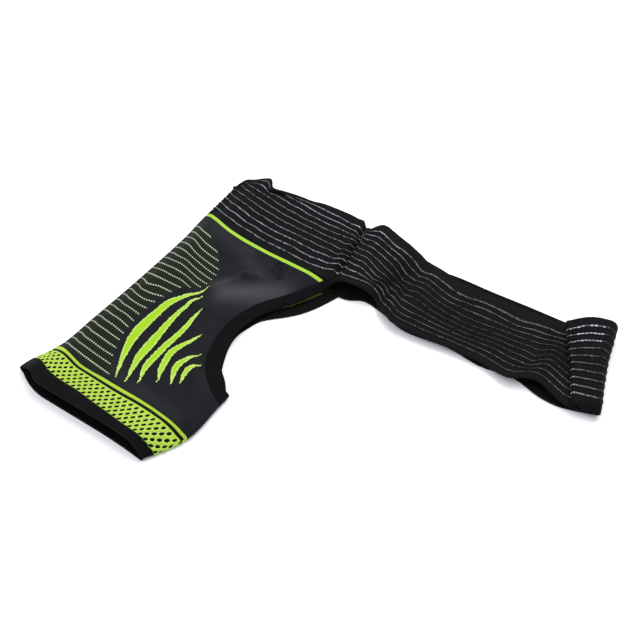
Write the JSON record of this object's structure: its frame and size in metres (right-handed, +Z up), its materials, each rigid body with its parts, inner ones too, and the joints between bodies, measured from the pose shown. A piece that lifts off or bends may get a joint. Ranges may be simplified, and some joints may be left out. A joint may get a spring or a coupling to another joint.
{
  "type": "one-shoulder compression brace",
  "caption": "Knitted shoulder support lying flat: arm sleeve with mesh cuff, bound armhole and ribbed elastic chest loop folded back at its far end.",
  "frame": {"origin": "on the table, under the middle of the brace's box as it lies flat", "axes": "+X along the chest band away from the sleeve, +Y up the sleeve from its mouth to the shoulder, +Z up"},
  "size_m": [0.385, 0.3116, 0.0175],
  "materials": {
    "hem_knit": "black doubled rib-knit hem, matt",
    "mesh_knit": "yellow-green honeycomb knit with dark holes",
    "sleeve_knit": "dark grey compression knit with yellow-green stripes and dotted pale courses",
    "binding_knit": "smooth black elastic edging",
    "band_knit": "black ribbed elastic with thin pale dashed lines"
  },
  "bodies": {
    "root": {"cuff_hem": "hem_knit", "mesh_band": "mesh_knit", "arm_sleeve": "sleeve_knit", "armhole_binding": "binding_knit", "chest_band": "band_knit"}
  },
  "joints": []
}
